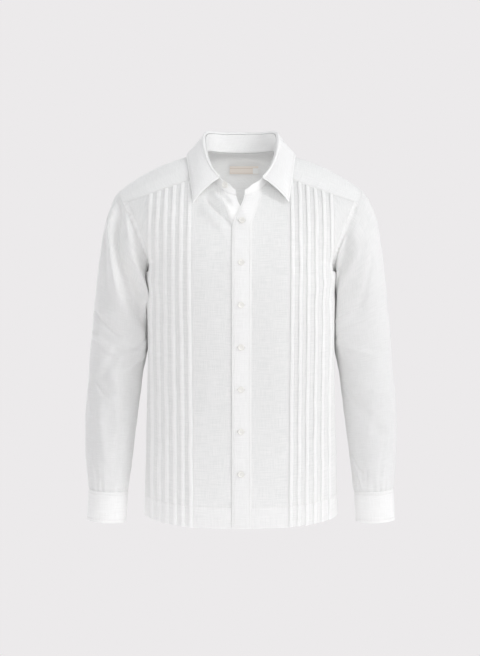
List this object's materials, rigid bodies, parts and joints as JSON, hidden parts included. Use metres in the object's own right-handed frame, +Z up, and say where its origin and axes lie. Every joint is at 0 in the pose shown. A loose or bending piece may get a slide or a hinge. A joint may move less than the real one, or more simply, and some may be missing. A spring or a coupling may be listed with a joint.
{
  "type": "guayabera shirt",
  "caption": "Long-sleeved linen guayabera shirt with vertical tucks down both fronts, a shirt collar and a buttoned placket, kept in its hollow worn form.",
  "frame": {"origin": "the neck of the shirt, level with the neck points of the shoulders, on the centre line, where the wearer carries it", "axes": "+Z up, the front faces -Y, +X is the wearer's left"},
  "size_m": [0.6032, 0.253, 0.7651],
  "materials": {
    "linen": "white slub linen, one layer",
    "linen_double": "white slub linen, fused double",
    "button": "white pearl resin, satin gloss",
    "label": "woven satin label, beige, blank",
    "tab": "woven satin tab, white, blank"
  },
  "bodies": {
    "root": {"front_left": "linen", "front_right": "linen", "back": "linen", "yoke": "linen", "button_placket": "linen_double", "underlap": "linen_double", "collar_stand": "linen_double", "collar_leaf": "linen_double", "sleeve_left": "linen", "sleeve_right": "linen", "cuff_left": "linen_double", "cuff_right": "linen_double", "sleeve_placket_left": "linen", "sleeve_placket_right": "linen", "button_1": "button", "button_2": "button", "button_3": "button", "button_4": "button", "button_5": "button", "button_6": "button", "button_7": "button", "collar_button": "button", "cuff_button_left": "button", "cuff_button_right": "button", "neck_label": "label", "size_tab": "tab"}
  },
  "joints": []
}
